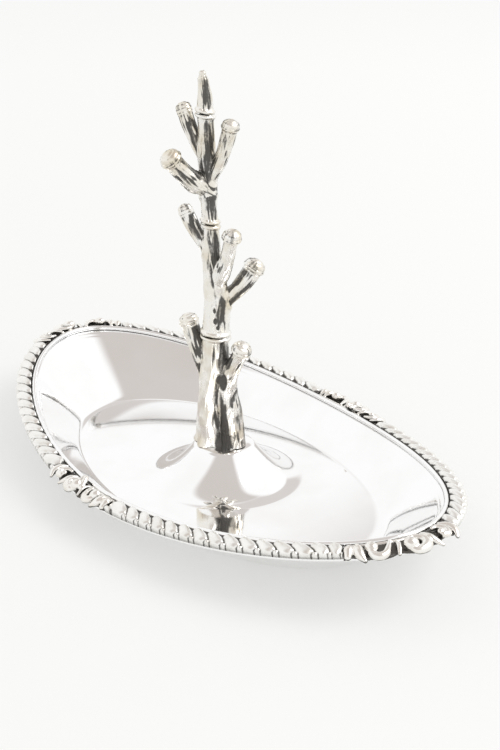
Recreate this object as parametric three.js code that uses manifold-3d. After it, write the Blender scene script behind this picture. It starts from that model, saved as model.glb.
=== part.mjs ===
// Silver ring tree: an oval dish with a gadrooned border, and a cast tree with cut-off branches on its dome.
// Millimetres, +Z up. X is the dish's long axis, and the table is z = 0 under the centre of the dish.
import * as THREE from "three";
import { mergeVertices } from "three/addons/utils/BufferGeometryUtils.js";
import Module from "manifold-3d";

const wasm = await Module();
wasm.setup();

// Dish: one pressed sheet. The rim is measured over the middle line of its bead.
const sheet = 0.8;
const rimLength = 119;
const rimWidth = 62.8;
const rimSideHeight = 6.35;
const rimEndHeight = 12.6;
const rimSquareness = 1.89;
const endLiftPower = 1.75;
const wellLength = 85.4;
const wellWidth = 47.4;
const wellSquareness = 2;

// Dome that lifts the tree off the well
const domeFoot = 33;
const domeCrown = 11.4;
const domeHeight = 8.2;
const domeHollowPower = 1.9;

// Border, measured outwards from the middle line of the bead
const beadWire = 1;
const flangeWidth = 3.3;
const borderWidth = 3.9;
const borderHeight = 2;
const borderFallHeight = 0.7;
const gadroonPitch = 3.3;
const gadroonDepth = 0.8;
const gadroonSlantLength = 1;
const gadroonPower = 0.7;

// Scroll mounts, one at each end of both axes
const mountLength = 19.6;
const endMountReach = 5.9;
const sideMountReach = 5.2;
const eastMountShift = -3.2;
const mountPlate = 0.9;
const scrollWire = 1.5;
const scrollBall = 2.3;
const leafWidth = 1.9;
const bandWire = 1.1;

// Trunk: the height of each section, and how far and which way the top leans
const lowerHeight = 23.5;
const middleHeight = 23.1;
const upperHeight = 21.7;
const tipHeight = 8.1;
const treeLean = 4.2;
const leanHeading = 234.5;

// Trunk: diameters from the root to the top
const rootSpread = 11.2;
const rootPower = 1.8;
const lowerTrunk = 5.4;
const middleTrunk = 3.4;
const upperTrunk = 3.1;
const topTrunk = 2.3;
const collarRise = 0.5;
const collarHeight = 1.1;
const barkDepth = 0.2;
const crossFurrows = 5;
const steepFurrows = 8;
const finialWire = 1.6;
const finialHeight = 1.5;

// Peg in the foot of each upper section, for the socket in the section below it
const pegWire = 1.3;
const pegLength = 2.2;

// Branches: how far the longest one reaches, its diameter, and its cut end with a ring and a domed cap
const branchReach = 8.3;
const branchWire = 3;
const branchEnd = 4.4;
const branchRing = 0.8;

// Fixing in the hollow of the dome
const studWire = 2.4;
const studInTree = 7;
const studBelowNut = 0.8;
const washerWidth = 6.6;
const washerHeight = 0.5;
const nutAcross = 5.2;
const nutSides = 6;
const nutHeight = 1.8;

// Clearances
const solderGap = 0.15;
const cutGap = 0.3;
const weld = 0.001;

// Divisions
const dishSteps = 52;
const beadSides = 6;
const gadroonSteps = 4;
const gadroonFacets = 4;
const mountSteps = 12;
const wireSides = 5;
const ballSides = 6;
const trunkSides = 12;
const branchSides = 9;

const tau = 2 * Math.PI;
const mix = THREE.MathUtils.lerp;
const radians = THREE.MathUtils.degToRad;

const polished = { color: 0xe6e4e0, roughness: 0.06, metalness: 1 };
const pressed = { color: 0xd2cfc8, roughness: 0.25, metalness: 1 };
const cast = { color: 0xc4c0b8, roughness: 0.32, metalness: 1 };
const plain = { color: 0xbdbab4, roughness: 0.4, metalness: 1 };

const ringTree = new THREE.Group();

function add(name, geometry, finish) {
  geometry.computeVertexNormals();
  const mesh = new THREE.Mesh(geometry, new THREE.MeshStandardMaterial(finish));
  mesh.name = name;
  ringTree.add(mesh);
}

// Merges a geometry's shared vertices, drops its empty faces and turns it to face outwards.
function closed(geometry) {
  const bare = geometry.clone();
  bare.deleteAttribute("normal");
  bare.deleteAttribute("uv");
  const merged = mergeVertices(bare, weld);
  const points = merged.getAttribute("position");
  const corners = merged.index.array;
  const [a, b, c] = [new THREE.Vector3(), new THREE.Vector3(), new THREE.Vector3()];
  const kept = [];
  let volume = 0;
  for (let i = 0; i < corners.length; i += 3) {
    const [p, q, r] = corners.subarray(i, i + 3);
    if (p === q || q === r || r === p) continue;
    kept.push(p, q, r);
    a.fromBufferAttribute(points, p);
    b.fromBufferAttribute(points, q);
    c.fromBufferAttribute(points, r);
    volume += a.dot(b.cross(c));
  }
  if (volume < 0) kept.reverse();
  merged.setIndex(kept);
  return merged;
}

// Gives a straight or round blank its final form: place(x, y, z) says where each vertex goes.
function formed(blank, place) {
  const bent = blank.clone();
  const points = bent.getAttribute("position");
  for (let i = 0; i < points.count; i++) {
    const p = place(points.getX(i), points.getY(i), points.getZ(i));
    points.setXYZ(i, p.x, p.y, p.z);
  }
  return closed(bent);
}

function solid(geometry) {
  const shape = closed(geometry);
  const vertProperties = new Float32Array(shape.getAttribute("position").array);
  const triVerts = new Uint32Array(shape.index.array);
  return new wasm.Manifold(new wasm.Mesh({ numProp: 3, vertProperties, triVerts }));
}

// The largest body of a solid, as a geometry: a cut can leave a loose crumb.
function geometryOf(manifold) {
  const bodies = manifold.decompose();
  bodies.sort((a, b) => b.volume() - a.volume());
  const mesh = bodies[0].getMesh();
  const geometry = new THREE.BufferGeometry();
  geometry.setAttribute("position", new THREE.BufferAttribute(mesh.vertProperties, mesh.numProp));
  geometry.setIndex(new THREE.BufferAttribute(mesh.triVerts, 1));
  return geometry;
}

// Rim: a squared oval whose ends rise above its sides

function oval(length, width, squareness, turn) {
  const power = 2 / squareness;
  const [c, s] = [Math.cos(turn), Math.sin(turn)];
  const x = (length / 2) * Math.sign(c) * Math.abs(c) ** power;
  const y = (width / 2) * Math.sign(s) * Math.abs(s) ** power;
  return new THREE.Vector3(x, y, 0);
}

function rimPoint(turn) {
  const p = oval(rimLength, rimWidth, rimSquareness, turn);
  const endShare = Math.abs(p.x) / (rimLength / 2);
  p.z = mix(rimSideHeight, rimEndHeight, endShare ** endLiftPower);
  return p;
}

class Rim extends THREE.Curve {
  getPoint(share) {
    return rimPoint(share * tau);
  }
}

const rim = new Rim();
rim.arcLengthDivisions = 1440;
const rimRound = rim.getLength();

// A place by the rim: so far outwards in plan, and so far above. The flange falls a little towards its edge.
function byRim(turn, outwards, above) {
  const nudge = tau / rim.arcLengthDivisions;
  const p = rimPoint(turn);
  const tangent = rimPoint(turn + nudge).sub(rimPoint(turn - nudge)).normalize();
  const level = new THREE.Vector3(tangent.y, -tangent.x, 0).normalize();
  const upward = new THREE.Vector3().crossVectors(level, tangent).normalize();
  p.addScaledVector(level, outwards).addScaledVector(upward, above);
  p.z -= borderFallHeight * (Math.max(outwards, 0) / borderWidth);
  return p;
}

// The same, with the place along the rim as a length from its +X end.
function alongRim(along, outwards, above) {
  const share = (((along / rimRound) % 1) + 1) % 1;
  return byRim(rim.getUtoTmapping(share) * tau, outwards, above);
}

const onFlange = sheet / 2 + solderGap;

// Dish: a round blank, one unit wide for each zone, pressed to shape. The zones are the dome's crown and its
// slope, the flat well, the wall and the flange.

const zoneShares = [0, 1, 1.2, 1.42, 1.68, 2, 3, 3.18, 3.38, 3.6, 3.8, 4, 5];
const [slopeZone, wellZone, wallZone, flangeZone, dishEdge] = [1, 2, 3, 4, 5];
const studHole = studWire + 2 * cutGap;

function circle(diameter, turn, height) {
  return new THREE.Vector3(Math.cos(turn), Math.sin(turn), 0).multiplyScalar(diameter / 2).setZ(height);
}

function sheetMiddle(turn, across) {
  const crown = domeHeight - sheet / 2;
  const floor = sheet / 2;
  if (across < slopeZone) return circle(mix(studHole, domeCrown, across), turn, crown);
  if (across < wellZone) {
    const share = across - slopeZone;
    return circle(mix(domeCrown, domeFoot, share), turn, mix(floor, crown, (1 - share) ** domeHollowPower));
  }
  const wellEdge = oval(wellLength, wellWidth, wellSquareness, turn).setZ(floor);
  if (across < wallZone) return circle(domeFoot, turn, floor).lerp(wellEdge, across - wellZone);
  if (across < flangeZone) {
    const rimEdge = rimPoint(turn);
    const share = across - wallZone;
    const height = mix(floor, rimEdge.z, THREE.MathUtils.smoothstep(share, 0, 1));
    return wellEdge.lerp(rimEdge, share).setZ(height);
  }
  return byRim(turn, (across - flangeZone) * flangeWidth, 0);
}

// The sheet's upper or lower face. On the flat crown and well it lies straight above or below the middle.
function sheetFace(turn, across, side) {
  const upright = new THREE.Vector3(0, 0, 1);
  if (across > slopeZone && (across < wellZone || across > wallZone)) {
    const nudge = 1 / rim.arcLengthDivisions;
    const round = sheetMiddle(turn + nudge, across).sub(sheetMiddle(turn - nudge, across));
    const outer = sheetMiddle(turn, Math.min(across + nudge, dishEdge));
    const radial = outer.sub(sheetMiddle(turn, across - nudge));
    upright.crossVectors(radial, round).normalize();
  }
  return sheetMiddle(turn, across).addScaledVector(upright, (side * sheet) / 2);
}

function dish() {
  const upper = zoneShares.map((share) => new THREE.Vector2(share + 1, 1));
  const lower = zoneShares.map((share) => new THREE.Vector2(share + 1, -1)).reverse();
  const blank = new THREE.LatheGeometry([...upper, ...lower, upper[0]], dishSteps);
  return formed(blank, (x, side, z) => sheetFace(Math.atan2(z, x), Math.hypot(x, z) - 1, side));
}

// Bead: a round wire bent to the rim. Its blank is a ring with a radius of 1 and a wire 1 thick.

function bead() {
  const section = [];
  for (let i = 0; i <= beadSides; i++) {
    const angle = ((i % beadSides) / beadSides) * tau;
    section.push(new THREE.Vector2(1 + Math.cos(angle) / 2, Math.sin(angle) / 2));
  }
  const blank = new THREE.LatheGeometry(section, dishSteps);
  return formed(blank, (x, y, z) => {
    const outwards = (Math.hypot(x, z) - 1) * beadWire;
    return byRim(Math.atan2(z, x), outwards, onFlange + (y + 1 / 2) * beadWire);
  });
}

// Gadroons: a straight half-round moulding, cut into slanting lobes and bent to the rim

const borderInner = beadWire / 2 + solderGap;
const gadroonWidth = borderWidth - borderInner;
const gadroonShares = { edge: 0.32, cutBack: 0.5 };

function gadroonSection() {
  const section = new THREE.Shape();
  section.moveTo(0, 0);
  for (let i = 0; i <= gadroonFacets; i++) {
    const angle = Math.PI * (1 - i / gadroonFacets);
    const across = (gadroonWidth / 2) * (1 + Math.cos(angle));
    section.lineTo(across, borderHeight * mix(gadroonShares.edge, 1, Math.sin(angle)));
  }
  section.lineTo(gadroonWidth, 0);
  section.closePath();
  return section;
}

function gadroonStrip(from, to) {
  const length = to - from;
  const lobes = Math.round(length / gadroonPitch);
  const pitch = length / lobes;
  const straight = new THREE.ExtrudeGeometry(gadroonSection(), {
    depth: length,
    steps: lobes * gadroonSteps,
    bevelEnabled: false,
  });
  return formed(straight, (across, up, along) => {
    const endShare = Math.min(along, length - along, pitch) / pitch;
    const slanted = along + gadroonSlantLength * endShare * (across / gadroonWidth);
    const sunk = gadroonDepth * (1 - Math.abs(Math.sin((Math.PI * slanted) / pitch)) ** gadroonPower);
    const above = up * (1 - sunk / borderHeight);
    const outwards = across - sunk * gadroonShares.cutBack * (across / gadroonWidth);
    return alongRim(from + along, borderInner + outwards, onFlange + above);
  });
}

// Scroll mount: a scalloped plate with a leaf in the middle, and on each side a scroll, a hook and a leaf. An
// end mount has a band along the bead, and a side mount has a leaf that laps inwards over the bead. The
// places are shares of its half length and of its reach outwards.

const plateShares = [0.94, 0.84, 0.78, 0.9, 0.96, 0.9, 0.78, 0.72, 0.76, 0.86, 0.74];
const scrollShares = [[0.09, 0.34], [0.12, 0.62], [0.26, 0.86], [0.42, 0.8], [0.49, 0.54], [0.39, 0.42]];
const hookShares = [[0.51, 0.35], [0.63, 0.26], [0.76, 0.36], [0.79, 0.58], [0.68, 0.62]];
const leafShares = { along: 0.91, out: 0.6, long: 0.56, wide: 0.8 };
const crownShares = { out: 0.68, long: 0.62 };
const hookBallShare = 0.85;
const bandShares = [-0.86, -0.3, 0.3, 0.86];

function wire(points, diameter) {
  const section = new THREE.Shape();
  for (let i = 0; i < wireSides; i++) {
    const angle = (i / wireSides) * tau;
    const corner = [(diameter / 2) * Math.cos(angle), (diameter / 2) * Math.sin(angle)];
    if (i === 0) section.moveTo(...corner);
    else section.lineTo(...corner);
  }
  section.closePath();
  const extrudePath = new THREE.CatmullRomCurve3(points);
  return new THREE.ExtrudeGeometry(section, { steps: points.length, bevelEnabled: false, extrudePath });
}

function ball(centre, diameter) {
  return leaf(centre, diameter, diameter);
}

function leaf(centre, length, width) {
  const pip = new THREE.SphereGeometry(1 / 2, ballSides, ballSides - 2).scale(width, length, width);
  return pip.translate(centre.x, centre.y, centre.z);
}

function plate(reach) {
  const square = new THREE.Shape([[0, 0], [1, 0], [1, 1], [0, 1]].map(([x, y]) => new THREE.Vector2(x, y)));
  const length = { depth: mountLength, steps: mountSteps, bevelEnabled: false };
  const strip = new THREE.ExtrudeGeometry(square, length);
  return formed(strip, (across, up, along) => {
    const x = along - mountLength / 2;
    const stop = (Math.abs(x) / (mountLength / 2)) * (plateShares.length - 1);
    const low = Math.min(Math.floor(stop), plateShares.length - 2);
    const outer = reach * mix(plateShares[low], plateShares[low + 1], stop - low);
    return new THREE.Vector3(x, mix(borderInner, outer, across), up * mountPlate);
  });
}

function scrollMount(centre, reach, lapped) {
  const spot = (alongShare, outShare) =>
    new THREE.Vector3((alongShare * mountLength) / 2, outShare * reach, mountPlate);
  const overBead = beadWire + cutGap + bandWire / 2;
  const lap = [
    new THREE.Vector3(0, reach / 2, mountPlate),
    new THREE.Vector3(0, borderInner + bandWire, mountPlate + bandWire / 4),
    new THREE.Vector3(0, 0, overBead),
    new THREE.Vector3(0, -borderInner - bandWire / 2, beadWire),
  ];
  const band = bandShares.map((share) => spot(share, (borderInner + bandWire / 2) / reach));
  const crown = leaf(spot(0, crownShares.out), reach * crownShares.long, leafWidth);
  const pieces = [crown, wire(lapped ? lap : band, bandWire)];
  for (const side of [-1, 1]) {
    const scroll = scrollShares.map(([along, out]) => spot(side * along, out));
    const hook = hookShares.map(([along, out]) => spot(side * along, out));
    pieces.push(wire(scroll, scrollWire), ball(scroll.at(-1), scrollBall));
    pieces.push(wire(hook, scrollWire), ball(hook.at(-1), scrollBall * hookBallShare));
    const small = spot(side * leafShares.along, leafShares.out);
    pieces.push(leaf(small, reach * leafShares.long, leafWidth * leafShares.wide));
  }
  const bent = (piece, lowest) =>
    solid(formed(piece, (x, out, above) => alongRim(centre + x, out, onFlange + Math.max(above, lowest))));
  let whole = bent(plate(reach), 0);
  for (const piece of pieces) whole = whole.add(bent(piece, mountPlate / 2));
  return geometryOf(whole);
}

// Trunk: four cast sections that meet at double ring collars, on a middle line that leans to one side

function wayOf(heading) {
  return new THREE.Vector3(Math.cos(radians(heading)), Math.sin(radians(heading)), 0);
}

const leanWay = wayOf(leanHeading);
const trunkFoot = domeHeight + solderGap;
const lowerJoint = trunkFoot + lowerHeight;
const middleJoint = lowerJoint + middleHeight;
const upperJoint = middleJoint + upperHeight;
const treeTop = upperJoint + tipHeight;
const studTop = trunkFoot + studInTree;

function trunkMiddle(height) {
  const share = Math.max(height - studTop, 0) / (treeTop - studTop);
  return new THREE.Vector3(0, 0, height).addScaledVector(leanWay, treeLean * share);
}

// Furrows of the bark: a set of five and a set of eight round the trunk, which wind opposite ways up it
const furrowSets = [
  { round: crossFurrows, winding: 4 },
  { round: steepFurrows, winding: -9 },
];

function bark(angle, height) {
  let depth = 0;
  for (const { round, winding } of furrowSets) {
    const turn = round * angle + (winding * height) / treeTop;
    depth += (barkDepth / 2) * Math.cos(turn);
  }
  return depth;
}

function trunkShape(profile, grown) {
  const blank = new THREE.LatheGeometry(profile, trunkSides);
  return formed(blank, (x, height, z) => {
    const radius = Math.hypot(x, z);
    const angle = Math.atan2(z, x);
    const furrow = radius > studHole / 2 ? bark(angle, height) + grown : 0;
    return circle(2 * (radius + furrow), angle, 0).add(trunkMiddle(height));
  });
}

const collarShares = [[0, 0], [1 / 4, 1], [3 / 4, 1], [1, 0]];

function ring(height, diameter) {
  const point = ([up, out]) => new THREE.Vector2(diameter / 2 + out * collarRise, height + up * collarHeight);
  return collarShares.map(point);
}

// Outline of a section's side, from its lower to its upper end
function flank([from, to], lowDiameter, topDiameter, steps, power = 1) {
  const outline = [];
  for (let i = 0; i <= steps; i++) {
    const share = i / steps;
    const diameter = mix(topDiameter, lowDiameter, (1 - share) ** power);
    outline.push(new THREE.Vector2(diameter / 2, mix(from, to, share)));
  }
  return outline;
}

// The finial is a small ring with a button on it, on the square shoulder of the tip.
const finialShares = [[1, 0.08], [1, 0.38], [0.66, 0.5], [0.74, 0.74], [0.46, 1]];

function finial() {
  const foot = treeTop - finialHeight;
  const rings = finialShares.map(([wide, up]) => [finialWire * wide, foot + finialHeight * up]);
  return [[topTrunk, foot], ...rings].map(([wide, up]) => new THREE.Vector2(wide / 2, up));
}

// Each joint has one ring below it and one above it, with a gap for the solder between them.
const ringTop = solderGap / 2 + collarHeight;
const belowRing = (joint) => joint - ringTop;
const aboveRing = (joint) => joint + ringTop;
const upperRing = (joint, diameter) => ring(joint + solderGap / 2, diameter).slice(0, -1);
const lowerRing = (joint, diameter) => ring(belowRing(joint), diameter).slice(1);

const trunkOutlines = {
  trunk_lower: [
    ...flank([trunkFoot, belowRing(lowerJoint)], rootSpread, lowerTrunk, 9, rootPower),
    ...lowerRing(lowerJoint, lowerTrunk),
  ],
  trunk_middle: [
    ...upperRing(lowerJoint, lowerTrunk),
    ...flank([aboveRing(lowerJoint), belowRing(middleJoint)], lowerTrunk, middleTrunk, 6),
    ...lowerRing(middleJoint, middleTrunk),
  ],
  trunk_upper: [
    ...upperRing(middleJoint, middleTrunk),
    ...flank([aboveRing(middleJoint), belowRing(upperJoint)], middleTrunk, upperTrunk, 6),
    ...lowerRing(upperJoint, upperTrunk),
  ],
  trunk_tip: [
    ...upperRing(upperJoint, upperTrunk),
    ...flank([aboveRing(upperJoint), treeTop - finialHeight], upperTrunk, topTrunk, 2).slice(0, -1),
    ...finial(),
  ],
};

// Below, a section has a socket for the stud or a peg. Above, it has a socket for the next section's peg.
function trunkSection(name) {
  const outline = trunkOutlines[name];
  const foot = outline[0].y;
  const top = outline.at(-1).y;
  const hollow = (diameter, ...heights) => heights.map((height) => new THREE.Vector2(diameter / 2, height));
  const below =
    name === "trunk_lower"
      ? hollow(studWire + 2 * solderGap, studTop + solderGap, foot)
      : hollow(pegWire, foot - pegLength, foot);
  const above = hollow(pegWire + 2 * solderGap, top, top - pegLength - cutGap);
  const ends = name === "trunk_tip" ? [] : above;
  const profile = [...below, ...outline, ...ends];
  profile.unshift(new THREE.Vector2(0, profile[0].y));
  profile.push(new THREE.Vector2(0, profile.at(-1).y));
  return trunkShape(profile, 0);
}

// What a branch is cut back by: the section's outside, grown by the gap
function trunkCutter(name) {
  const outline = trunkOutlines[name];
  const profile = [
    new THREE.Vector2(0, outline[0].y - cutGap),
    outline[0].clone().setY(outline[0].y - cutGap),
    ...outline.slice(1, -1),
    outline.at(-1).clone().setY(outline.at(-1).y + cutGap),
    new THREE.Vector2(0, outline.at(-1).y + cutGap),
  ];
  return solid(trunkShape(profile, cutGap));
}

// Branches: root and tip as shares of the height of the section that carries them, and out, thick and end as
// shares of the branch sizes. Headings are in degrees from +X.

const branchShares = {
  branch_low_left: { on: "lower", root: 0.46, tip: 1.13, out: 0.9, thick: 0.95, end: 0.95, heading: 206 },
  branch_low_right: { on: "lower", root: 0.02, tip: 0.98, out: 0.8, thick: 1.1, end: 0.96, heading: 14 },
  branch_mid_right: { on: "middle", root: 0.24, tip: 0.66, out: 1.06, thick: 1.05, end: 1.06, heading: 63 },
  branch_mid_front: { on: "middle", root: 0.28, tip: 1.01, out: 0.82, thick: 1, end: 0.95, heading: 2 },
  branch_mid_left: { on: "middle", root: 0.69, tip: 1.12, out: 0.8, thick: 0.82, end: 0.72, heading: 204 },
  branch_top_front: { on: "upper", root: 0.29, tip: 0.69, out: 1.06, thick: 1.1, end: 1.04, heading: 262 },
  branch_top_right: { on: "upper", root: 0.37, tip: 0.98, out: 0.74, thick: 0.85, end: 0.84, heading: 21 },
  branch_top_left: { on: "upper", root: 0.52, tip: 1.06, out: 0.68, thick: 0.82, end: 0.74, heading: 198 },
};
const spans = {
  lower: [trunkFoot, lowerJoint],
  middle: [lowerJoint, middleJoint],
  upper: [middleJoint, upperJoint],
};
const bendShares = { up: 0.36, out: 0.55 };

// This one is a second stem: it stands beside the trunk at the root, and rises along it before it bends away.
const stemShares = { name: "branch_low_right", from: 0.42, up: 0.62, out: 0.04 };
const taperShares = { root: 0.78, neck: 1.06 };
const capShares = { height: 0.4, groove: 0.84, round: 0.92 };

function branchProfile(length, wide, end) {
  const cap = end * capShares.height;
  const ringFoot = length - cap - branchRing;
  const shoulder = [
    [0, 0],
    [wide * taperShares.root, 0],
    [wide * mix(taperShares.root, taperShares.neck, 1 / 2), ringFoot / 2],
    [wide * taperShares.neck, ringFoot - branchRing / 2],
    [end, ringFoot + branchRing / 4],
    [end, ringFoot + (3 * branchRing) / 4],
    [end * capShares.groove, ringFoot + branchRing],
  ];
  const dome = [];
  for (const share of [0, 1 / 3, 2 / 3, 1]) {
    const angle = (share * tau) / 4;
    dome.push([end * capShares.round * Math.cos(angle), length - cap * (1 - Math.sin(angle))]);
  }
  dome.shift();
  return [...shoulder, ...dome].map(([diameter, up]) => new THREE.Vector2(Math.max(diameter, 0) / 2, up));
}

function branchShape(name, grown) {
  const shares = branchShares[name];
  const way = wayOf(shares.heading);
  const reach = branchReach * shares.out;
  const span = spans[shares.on];
  const at = (upShare, outShare) => trunkMiddle(mix(...span, upShare)).addScaledVector(way, reach * outShare);
  const { from, up, out } = name === stemShares.name ? stemShares : { from: 0, ...bendShares };
  const bend = at(mix(shares.root, shares.tip, up), mix(from, 1, out));
  const path = new THREE.QuadraticBezierCurve3(at(shares.root, from), bend, at(shares.tip, 1));
  const length = path.getLength();
  const profile = branchProfile(length, branchWire * shares.thick, branchEnd * shares.end);
  const blank = new THREE.LatheGeometry(profile, branchSides);
  const across = new THREE.Vector3(-way.y, way.x, 0);
  return formed(blank, (x, along, z) => {
    const share = Math.min(along / length, 1);
    const outer = new THREE.Vector3().crossVectors(across, path.getTangentAt(share));
    const radius = Math.hypot(x, z);
    const wider = radius > solderGap ? 1 + grown / radius : 1;
    return path.getPointAt(share).addScaledVector(outer, x * wider).addScaledVector(across, z * wider);
  });
}

// Fixing: a stud from the trunk down through the dome, with a washer and a nut under the crown

const washerTop = domeHeight - sheet - solderGap;
const nutTop = washerTop - washerHeight - solderGap;
const studFoot = nutTop - nutHeight - studBelowNut;

function stud() {
  const height = studTop - studFoot;
  const rod = new THREE.CylinderGeometry(studWire / 2, studWire / 2, height, branchSides);
  return closed(rod.rotateX(tau / 4).translate(0, 0, studFoot + height / 2));
}

function ringPlate(diameter, corners, height, top) {
  const shape = new THREE.Shape();
  shape.setFromPoints(polygon(diameter, corners));
  shape.holes.push(new THREE.Path(polygon(studHole, 2 * wireSides)));
  const blank = new THREE.ExtrudeGeometry(shape, { depth: height, bevelEnabled: false });
  return closed(blank.translate(0, 0, top - height));
}

function polygon(diameter, corners) {
  const points = [];
  for (let i = 0; i < corners; i++) points.push(circle(diameter, (i / corners) * tau, 0));
  return points;
}

// The assembly

add("dish", dish(), polished);
add("rim_bead", bead(), polished);

const mountNames = ["east", "north", "west", "south"];
const mountCentres = mountNames.map((name, i) => (i * rimRound) / 4 + (name === "east" ? eastMountShift : 0));
mountNames.forEach((name, i) => {
  const onSide = name === "north" || name === "south";
  const mount = scrollMount(mountCentres[i], onSide ? sideMountReach : endMountReach, onSide);
  add("scroll_mount_" + name, mount, cast);
  const clear = mountLength / 2 + cutGap;
  const next = mountCentres[i + 1] ?? mountCentres[0] + rimRound;
  add("gadroon_" + (i + 1), gadroonStrip(mountCentres[i] + clear, next - clear), pressed);
});

const cutters = [];
for (const name of Object.keys(trunkOutlines)) {
  add(name, trunkSection(name), cast);
  cutters.push(trunkCutter(name));
}

// Each branch is cut back where it meets the trunk, and where it meets a branch made before it.
for (const name of Object.keys(branchShares)) {
  let branch = solid(branchShape(name, 0));
  for (const cutter of cutters) branch = branch.subtract(cutter);
  add(name, geometryOf(branch), cast);
  cutters.push(solid(branchShape(name, cutGap)));
}

add("fixing_stud", stud(), plain);
add("fixing_washer", ringPlate(washerWidth, 2 * wireSides, washerHeight, washerTop), plain);
add("fixing_nut", ringPlate(nutAcross / Math.cos(tau / (2 * nutSides)), nutSides, nutHeight, nutTop), plain);

export default ringTree;
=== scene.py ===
import math

import bmesh
import bpy
import numpy as np
from mathutils import Matrix, Vector, noise


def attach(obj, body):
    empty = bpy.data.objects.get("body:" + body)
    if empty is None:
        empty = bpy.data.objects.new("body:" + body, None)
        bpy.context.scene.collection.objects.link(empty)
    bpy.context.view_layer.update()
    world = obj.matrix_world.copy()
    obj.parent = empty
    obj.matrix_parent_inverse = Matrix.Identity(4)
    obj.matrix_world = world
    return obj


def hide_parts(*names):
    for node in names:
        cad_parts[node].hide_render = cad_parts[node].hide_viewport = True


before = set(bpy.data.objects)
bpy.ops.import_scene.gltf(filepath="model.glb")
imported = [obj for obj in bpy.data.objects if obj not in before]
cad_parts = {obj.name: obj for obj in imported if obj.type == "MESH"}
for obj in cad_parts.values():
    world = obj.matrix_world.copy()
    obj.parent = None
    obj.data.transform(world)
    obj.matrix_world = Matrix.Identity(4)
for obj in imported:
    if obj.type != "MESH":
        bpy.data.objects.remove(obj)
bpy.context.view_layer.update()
millimetre = 0.001
perMetre = 1000
tau = 2 * math.pi
spunWeld = 1e-5


def mix(low, high, share):
    return low + (high - low) * share


def smoothStep(value, low=0.0, high=1.0):
    share = np.clip((value - low) / (high - low), 0, 1)
    return share * share * (3 - 2 * share)


def unit(vectors):
    return vectors / np.maximum(np.linalg.norm(vectors, axis=-1, keepdims=True), 1e-9)


# A profile of (radius, height) points, spun about Z
def turned(profile, sides, closed=False):
    blank = bmesh.new()
    corners = [blank.verts.new((radius, 0, height)) for radius, height in profile]
    edges = [blank.edges.new(pair) for pair in zip(corners, corners[1:])]
    if closed:
        edges.append(blank.edges.new((corners[-1], corners[0])))
    bmesh.ops.spin(
        blank, geom=corners + edges, cent=(0, 0, 0), axis=(0, 0, 1), angle=tau, steps=sides, use_merge=True)
    bmesh.ops.remove_doubles(blank, verts=blank.verts, dist=spunWeld)
    bmesh.ops.recalc_face_normals(blank, faces=blank.faces)
    return blank


# Moves every vertex of a blank to its place
def form(blank, place):
    points = np.array([corner.co for corner in blank.verts])
    for corner, point in zip(blank.verts, place(points)):
        corner.co = point
    return blank


def gather(whole, part):
    mesh = bpy.data.meshes.new("part")
    part.to_mesh(mesh)
    part.free()
    whole.from_mesh(mesh)
    bpy.data.meshes.remove(mesh)


def meshPoints(mesh):
    points = np.empty(len(mesh.vertices) * 3)
    mesh.vertices.foreach_get("co", points)
    return points.reshape(-1, 3)


def setPoints(mesh, points):
    mesh.vertices.foreach_set("co", np.asarray(points).ravel())
    mesh.update()


# Fuses the crossing parts of a casting into one skin, and eases its inner corners
def fuse(name, whole, voxel, easing):
    rough = bpy.data.meshes.new(name + "_rough")
    whole.to_mesh(rough)
    whole.free()
    holder = bpy.data.objects.new(name + "_rough", rough)
    bpy.context.scene.collection.objects.link(holder)
    remesh = holder.modifiers.new("Remesh", "REMESH")
    remesh.mode = "VOXEL"
    remesh.voxel_size = voxel
    ease = holder.modifiers.new("Smooth", "SMOOTH")
    ease.iterations = easing
    fused = bpy.data.meshes.new_from_object(holder.evaluated_get(bpy.context.evaluated_depsgraph_get()))
    bpy.data.objects.remove(holder)
    bpy.data.meshes.remove(rough)
    return fused


def addShade(mesh, name, values):
    layer = mesh.attributes.new(name, "FLOAT", "POINT")
    layer.data.foreach_set("value", np.asarray(values, dtype=np.float32))


# Turns a finished mesh in mm into a piece in metres that rides on the body
def finishPiece(name, mesh, material, nodes):
    mesh.name = name
    setPoints(mesh, meshPoints(mesh) * millimetre)
    mesh.shade_smooth()
    mesh.materials.clear()
    mesh.materials.append(material)
    piece = bpy.data.objects.new(name, mesh)
    bpy.context.scene.collection.objects.link(piece)
    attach(piece, "root")
    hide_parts(*nodes)
    print("made", name, len(mesh.polygons), "faces")


def toMesh(name, shape):
    mesh = bpy.data.meshes.new(name)
    shape.to_mesh(mesh)
    shape.free()
    return mesh


# Materials

def linear(hexColour):
    values = [int(hexColour[i:i + 2], 16) / 255 for i in (1, 3, 5)]
    return [v / 12.92 if v <= 0.04045 else ((v + 0.055) / 1.055) ** 2.4 for v in values] + [1]


def addNode(tree, kind, links=None, **settings):
    node = tree.nodes.new("ShaderNode" + kind)
    for name, value in settings.items():
        setattr(node, name, value)
    for name, value in (links or {}).items():
        if isinstance(value, bpy.types.NodeSocket):
            tree.links.new(value, node.inputs[name])
        else:
            node.inputs[name].default_value = value
    return node


surface = {"cloudDetail": 3.0, "grainDetail": 4.0, "warmFrom": 0.42, "warmTo": 0.75, "grainFrom": 0.3,
           "grainTo": 0.7, "recessRays": 8, "duller": 0.3}


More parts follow.
